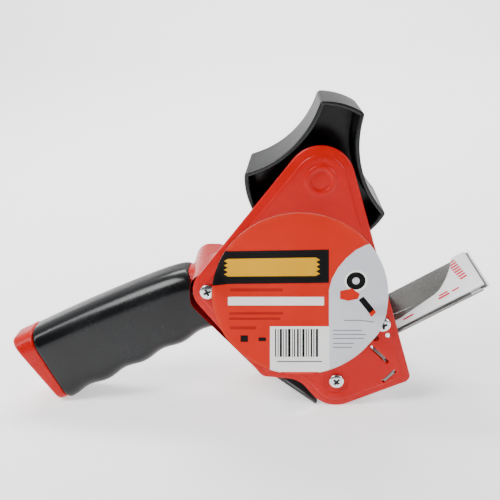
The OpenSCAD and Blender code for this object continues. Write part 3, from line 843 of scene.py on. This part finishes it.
# web between the pockets, with its fillets
core = circle((0, 0), 9.5, len(HP), math.radians(0))
ang0 = np.arctan2(HP[:, 1], HP[:, 0])
core = np.stack([9.5 * np.cos(ang0), 9.5 * np.sin(ang0)], -1)
web_k = 1 - 0.034 * 24.5 / 45.0
V, F, _ = fill(offset(HP, -2.42)[::3] * web_k, [core[::6]], step=3.0)
B.add(lift(V, 29.0), F)
B.add(lift(V, 31.5), F[:, ::-1])
# fillet where the web meets the shell
for y, f in ((29.0, -1), (31.5, 1)):
    a, b = hub_ring(y + f * 1.1, -2.46), hub_ring(y, -3.5)
    m_ = hub_ring(y, -2.75)
    a[:, 1], m_[:, 1], b[:, 1] = y + f * 1.1, y + f * 0.3, y + f * 0.01
    B.rings([a, m_, b])
sl = [lift(core, 28.3), lift(core, 20), lift(core, 10), lift(core, 6.8), lift(core * (9.2 / 9.5), 6.4), lift(core * (6.9 / 9.5), 6.4),
      lift(core * (6.56 / 9.5), 6.7), lift(core * (6.56 / 9.5), 31.5), lift(core, 31.5)]
B.rings(sl)
piece(B.make("three_lobed_hub", [BLACK, BLACK_OUT], angle=42), "hub", "black_plastic", "hub_shell")

# brake knob: six soft lobes, a dished end
B = Builder()
t = np.arange(192) * 2 * math.pi / 192
kr = 11.35 + 1.0 * np.tanh(2.2 * np.cos(6 * t)) / np.tanh(2.2)


def kring(y, d):
    return np.stack([(kr - d) * np.cos(t), np.full(192, y), (kr - d) * np.sin(t)], -1)


def kcirc(y, r):
    return np.stack([r * np.cos(t), np.full(192, y), r * np.sin(t)], -1)


B.rings([kcirc(46.6, 7.1), kcirc(46.1, 7.3), kcirc(46.05, 9.6), kring(46.5, 0.7), kring(46.9, 0.25), kring(47.6, 0.0), kring(51, 0.05),
         kring(55.2, 0.15), kring(56.4, 0.4), kring(57.1, 0.95), kring(57.45, 1.8), kcirc(57.5, 8.2), kcirc(57.42, 7.4),
         kcirc(57.0, 7.05), kcirc(55.8, 6.95), kcirc(55.5, 6.6), kcirc(55.45, 4.6), kcirc(55.6, 4.25), kcirc(51.2, 4.2), kcirc(51.1, 7.05), kcirc(46.6, 7.1)])
piece(B.make("six_lobed_brake_knob", [BLACK], angle=40), "knob", "black_plastic", "brake_knob")

# roller sleeve with fine ribs round it
B = Builder()
pr = [(10.55, 4.4), (14.4, 4.4), (15.0, 4.6), (15.3, 5.0)]
yy = 5.0
while yy < 51.6:
    pr += [(15.38, yy + 0.35), (15.38, yy + 0.95), (15.12, yy + 1.15), (15.12, yy + 1.35)]
    yy += 1.55
pr += [(15.3, 52.0), (15.0, 52.4), (14.4, 52.6), (10.55, 52.6)]
B.lathe(S2, pr, 96)
piece(B.make("ribbed_roller_sleeve", [RUBBER], angle=50), "roller", "roller_rubber", "roller_sleeve")

# ---------------------------------------------------------------- tongue, blade and guard


def soft_box_prism(B, poly, place, y0, y1, r=0.18):
    """A prism of a corner polygon with softened long edges."""
    P = np.asarray(poly, float)
    m = len(P)
    q = [[*P[i], r] for i in range(m)]
    a = rounded(q, 4)
    b = rounded(inset(q, r * 0.7), 4)
    pts = [lift(b, y0), lift(a, y0 + r * 0.7), lift(a, y1 - r * 0.7), lift(b, y1)]
    B.rings([place(p) for p in pts], caps=(True, True))


# the tongue: one sheet, folded down at its rear into the leg, with the tabs through the plates
c31, s31 = math.cos(math.radians(31.3)), math.sin(math.radians(31.3))
ea = np.array([math.cos(math.radians(-44.4)), math.sin(math.radians(-44.4))])
en = np.array([-ea[1], ea[0]])
leg0 = np.array([29.9, -90.9])


def tg(x, z):
    return np.array([44.5 + x * c31 - z * s31, -82.3 + x * s31 + z * c31])


path = []
for x_ in (48.0, 47.9, 40, 30, 20, 10, 0, -8, -13):
    path.append((tg(x_, -0.6), np.array([-s31, c31])))
pA, pB = tg(-13, -0.6), leg0 + ea * 3.0
dA, dB = -np.array([c31, s31]), ea
nA, nB = np.array([-s31, c31]), en
for k in range(1, 12):
    u = k / 12
    h00, h10, h01, h11 = 2 * u**3 - 3 * u**2 + 1, u**3 - 2 * u**2 + u, -2 * u**3 + 3 * u**2, u**3 - u**2
    p = h00 * pA + h10 * dA * 9.0 + h01 * pB + h11 * dB * 7.0
    g = (6 * u**2 - 6 * u) * pA + (3 * u**2 - 4 * u + 1) * dA * 9.0 + (-6 * u**2 + 6 * u) * pB + (3 * u**2 - 2 * u) * dB * 7.0
    g = unit(g)
    nn = np.array([g[1], -g[0]])
    path.append((p, nn))
for a_ in (3.0, 5.0, 8.0, 10.6, 11.0):
    path.append((leg0 + ea * a_, np.array([ea[1], -ea[0]])))
B = Builder()
hw = 24.5
rr_ = []
for i, (p, nn) in enumerate(path):
    e = 0.45 if i in (0, len(path) - 1) else 0.6
    ring = []
    for yy_, hh in ((-hw, -e + 0.15), (-hw, e - 0.15), (-hw + 0.15, e), (-8, e), (8, e), (hw - 0.15, e), (hw, e - 0.15), (hw, -e + 0.15),
                    (hw - 0.15, -e), (8, -e), (-8, -e), (-hw + 0.15, -e)):
        q = p + nn * hh
        ring.append((q[0], YM + yy_, q[1]))
    rr_.append(np.array(ring))
B.rings(rr_, caps=(True, True))
for a0, b0 in ((0.7, 4.2), (52.8, 56.3)):
    corners = [leg0 + ea * 1.6 - en * 0.6, leg0 + ea * 10.2 - en * 0.6, leg0 + ea * 10.2 + en * 0.6, leg0 + ea * 1.6 + en * 0.6]
    soft_box_prism(B, corners, lambda p: p, a0, b0)
piece(B.make("folded_steel_tongue", [BRUSH], angle=40), "frame", "brushed_steel", "tongue_plate")

# blade: a thin strip, every tooth ground from its root to its point
B = Builder()
nt_, tip, root, back_x = 25, 52.0, 49.6, 41.5
top, bot = 0.60, 0.02
V, F, MI = [], [], []


def vadd(x_, y_, z_):
    V.append((x_, y_, z_))
    return len(V) - 1


for i in range(nt_):
    y0, y1 = 3.5 + 50 * i / nt_, 3.5 + 50 * (i + 1) / nt_
    ymid = (y0 + y1) / 2
    a = [vadd(41.5, y0, top - 0.1), vadd(41.62, y0, top), vadd(47.2, y0, top), vadd(root, y0, top - 0.28)]
    b = [vadd(41.5, y1, top - 0.1), vadd(41.62, y1, top), vadd(47.2, y1, top), vadd(root, y1, top - 0.28)]
    m1 = vadd(47.2, ymid, top)
    tp = vadd(tip, ymid, top - 0.42)
    F += [[a[0], a[1], b[1], b[0]], [a[1], a[2], m1, b[2], b[1]], [a[2], a[3], tp, m1], [m1, tp, b[3], b[2]]]
    MI += [0, 0, 1, 1]
    c = [vadd(41.5, y0, bot), vadd(root, y0, bot), vadd(41.5, y1, bot), vadd(root, y1, bot)]
    tb = vadd(tip, ymid, bot + 0.1)
    F += [[c[0], c[2], c[3], tb, c[1]], [a[0], b[0], c[2], c[0]], [a[3], c[1], tb, tp], [tp, tb, c[3], b[3]]]
    MI += [0, 0, 1, 1]
    if i == 0:
        F.append([a[0], c[0], c[1], a[3], a[2], a[1]])
        MI.append(0)
    if i == nt_ - 1:
        F.append([b[0], b[1], b[2], b[3], c[3], c[2]])
        MI.append(0)
B.add(V, F, MI)
# tooth facets (MI 1) take the near-black painted-shade colour
piece(B.make("ground_serrated_blade", [BLADE, TEETH_PAINTED_SHADE], place=lambda P: row(tongue(P)), angle=25), "frame", "brushed_steel", "cutter_blade")

# shield under the roll, a thin plate with soft edges
B = Builder()
soft_box_prism(B, [(-23.5, -109.9), (1.2, -128), (2.4, -126.3), (-21.5, -108.7)], lambda p: p, 3.0, 54.0, 0.6)
piece(B.make("lower_tape_shield", [BLACK], angle=40), "frame", "black_plastic", "tape_shield")

# clear guard: cut from sheet, its flag carries plain red dashes, edge turned down slightly
PLAN = [[-6.3, 4.6, 0.6], [49.4, 4.6, 1], [49.4, 52.4, 1], [41.5, 52.4, 1], [39, 43, 12], [34.5, 32, 40], [27, 19.6, 12],
        [4, 12.4, 20], [-6.3, 12, 0.6]]
outl = dense(rounded(PLAN, 9), 1.6)


def trect(x0, y0, x1, y1, a=0.0):
    cx, cy = (x0 + x1) / 2, (y0 + y1) / 2
    c, s = math.cos(a), math.sin(a)
    return dense(np.array([[cx + (p - cx) * c - (q - cy) * s, cy + (p - cx) * s + (q - cy) * c]
                           for p, q in ((x0, y0), (x1, y0), (x1, y1), (x0, y1))]), 2.5)


dashes = [trect(37.6 + 0.35 * k, 45.6 - 3.5 * k, 42.6 + 0.25 * k, 47.7 - 3.5 * k, 0.25) for k in range(8)]
dashes += [trect(25.4, 11.0, 31.8, 13.2, 0.1), trect(26.2, 14.2, 31.4, 16.0, 0.1), trect(33.4, 12.2, 37.6, 14.0, 0.1),
           trect(4.0, 8.2, 10.2, 10.0, 0.05)]
V, F, cen = fill(outl, (), dashes, step=2.4)
mats_of = np.zeros(len(F), int)
for d in dashes:
    mats_of[inside(cen, d)] = 1


def guard_z(P, base):
    return base + 0.12 * np.sin((P[:, 0] + 6) / 55 * math.pi)


B = Builder()
up = np.stack([V[:, 0], V[:, 1], guard_z(V, 2.25)], -1)
dn = np.stack([V[:, 0], V[:, 1], guard_z(V, 1.35)], -1)
B.add(up, F, mats_of)
B.add(dn, F[:, ::-1], 0)
o = outl


def oring(d, base):
    q = offset(o, d)
    return np.stack([q[:, 0], q[:, 1], guard_z(q, base)], -1)


B.rings([np.stack([o[:, 0], o[:, 1], guard_z(o, 2.25)], -1), oring(0.12, 2.15), oring(0.18, 1.8), oring(0.12, 1.45),
         np.stack([o[:, 0], o[:, 1], guard_z(o, 1.35)], -1)], mat=2)
pt = (-5.7 * 1.0, 0)
v = np.array(PIN) - np.array([44.5, -82.3])
a31 = math.radians(31.3)
PT = (v[0] * math.cos(a31) + v[1] * math.sin(a31), v[1] * math.cos(a31) - v[0] * math.sin(a31))
rings = []
for r, y in ((1.33, 4.6), (2.0, 4.6), (2.2, 4.85), (2.2, 11.75), (2.0, 12.0), (1.33, 12.0), (1.33, 4.6)):
    q = circle(PT, r, 40)
    rings.append(np.stack([q[:, 0], np.full(40, y), q[:, 1]], -1))
B.rings(rings, mat=2)
guard = B.make("clear_blade_guard", [CLEAR, INK_RED, CLEAR_EDGE], place=lambda P: row(tongue(P)), angle=45)
piece(guard, "guard", "clear_plastic", "blade_guard")

# ---------------------------------------------------------------- floor, light, camera
fl = Builder()
n = 40
gx = np.linspace(-3000, 3000, n)
# a plain sheet that curves up far behind
prof = [(-3000, 0.0), (-1500, 0), (-600, 0), (0, 0), (600, 0), (1100, 0), (1500, 40), (1800, 150), (1980, 300)]
Vf = [(x_, y_, z_) for y_, z_ in prof for x_ in gx]
Ff = [[j * n + i, j * n + i + 1, (j + 1) * n + i + 1, (j + 1) * n + i] for j in range(len(prof) - 1) for i in range(n - 1)]
fl.add(Vf, Ff)
FLOOR, nt, bs = new_mat("studio_floor")
nz = nt.nodes.new("ShaderNodeTexNoise")
nz.inputs["Scale"].default_value = 6
tcf = nt.nodes.new("ShaderNodeTexCoord")
nt.links.new(tcf.outputs["Object"], nz.inputs[0])
rp = nt.nodes.new("ShaderNodeValToRGB")
rp.color_ramp.elements[0].color = (0.90, 0.90, 0.90, 1)
rp.color_ramp.elements[1].color = (0.94, 0.94, 0.94, 1)
nt.links.new(nz.outputs[0], rp.inputs[0])
nt.links.new(rp.outputs[0], bs.inputs["Base Color"])
bs.inputs["Roughness"].default_value = 0.9
bs.inputs["Specular IOR Level"].default_value = 0.1
bs.inputs["Emission Color"].default_value = (1, 1, 1, 1)
# the floor glows, emission rising from 0 in front (Y -0.32 m) to 0.8 behind (Y 0.05 m): painted light that brightens
# the floor towards the back
sepf = nt.nodes.new("ShaderNodeSeparateXYZ")
nt.links.new(tcf.outputs["Object"], sepf.inputs[0])
mrf = nt.nodes.new("ShaderNodeMapRange")
mrf.interpolation_type = "SMOOTHSTEP"
mrf.inputs[1].default_value = -0.32
mrf.inputs[2].default_value = 0.05
mrf.inputs[3].default_value = 0.0
mrf.inputs[4].default_value = 0.8
nt.links.new(sepf.outputs[1], mrf.inputs[0])
nt.links.new(mrf.outputs[0], bs.inputs["Emission Strength"])
floor = fl.make("studio_floor", [FLOOR], place=lambda P: np.asarray(P, float) / 1000.0)

world = bpy.data.worlds.new("studio")
bpy.context.scene.world = world
world.use_nodes = True
wt = world.node_tree
wb = wt.nodes["Background"]
wc = wt.nodes.new("ShaderNodeTexCoord")
ws = wt.nodes.new("ShaderNodeSeparateXYZ")
wr_ = wt.nodes.new("ShaderNodeMapRange")
wr_.interpolation_type = "SMOOTHSTEP"
wr_.inputs[1].default_value = -0.35
wr_.inputs[2].default_value = 0.75
wr_.inputs[3].default_value = 0.10
wr_.inputs[4].default_value = 1.1
wt.links.new(wc.outputs["Generated"], ws.inputs[0])
wt.links.new(ws.outputs[1], wr_.inputs[0])
wt.links.new(wr_.outputs[0], wb.inputs[1])
wb.inputs[0].default_value = (1.0, 1.0, 1.0, 1)


def area(name, loc, target, size, power, size_y=None, color=(1, 1, 1)):
    d = bpy.data.lights.new(name, "AREA")
    d.energy = power
    d.color = color
    d.size = size
    if size_y:
        d.shape = "RECTANGLE"
        d.size_y = size_y
    o = bpy.data.objects.new(name, d)
    bpy.context.scene.collection.objects.link(o)
    o.location = loc
    o.rotation_euler = (Vector(target) - Vector(loc)).to_track_quat("-Z", "Y").to_euler()
    return o


area("key", (-0.62, -0.42, 0.95), (0, 0, 0.08), 0.45, 12)
area("fill", (0.95, -0.55, 0.5), (0, 0, 0.08), 0.5, 6)
area("back", (-0.15, 0.55, 0.95), (0.02, 0, 0.12), 0.9, 9, 0.35)
area("strip", (-0.75, -0.15, 0.55), (-0.05, 0, 0.10), 0.12, 3.0, 0.7)
area("backdrop", (0.0, 0.9, 1.5), (0, 2.2, 0.3), 1.6, 60, 0.4)

cam_data = bpy.data.cameras.new("view")
cam_data.lens = 54.47
cam_data.sensor_width = 36
cam_data.clip_start = 0.01
cam = bpy.data.objects.new("view", cam_data)
bpy.context.scene.collection.objects.link(cam)
r_, u_, f_ = row_dir(RGT), row_dir(UPV), row_dir(FWD)
M = Matrix((r_, u_, -f_)).transposed().to_4x4()
M.translation = Vector(row(C_HUB))
cam.matrix_world = M
bpy.context.scene.camera = cam
